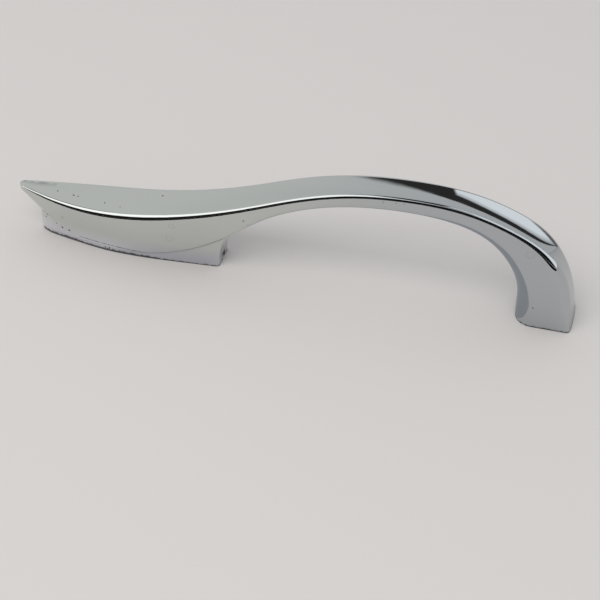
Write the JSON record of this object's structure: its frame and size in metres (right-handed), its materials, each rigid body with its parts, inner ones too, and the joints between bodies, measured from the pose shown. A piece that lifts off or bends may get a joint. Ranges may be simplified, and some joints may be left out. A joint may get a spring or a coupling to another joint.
{
  "type": "cabinet handle",
  "caption": "Cast bar handle: a leaf-shaped head on a long foot narrows into a slim arched grip that comes down on a small square foot.",
  "frame": {"origin": "on the cabinet face, midway between the axes of the two screw holes", "axes": "+X from the leaf-shaped head to the small foot, +Z away from the cabinet face, +Y across the bar"},
  "size_m": [0.1288, 0.0112, 0.0282],
  "materials": {
    "plated_zinc": "bright chrome plating on a zinc casting, with small pits and worn lower edges"
  },
  "bodies": {
    "root": {"handle": "plated_zinc"}
  },
  "joints": []
}
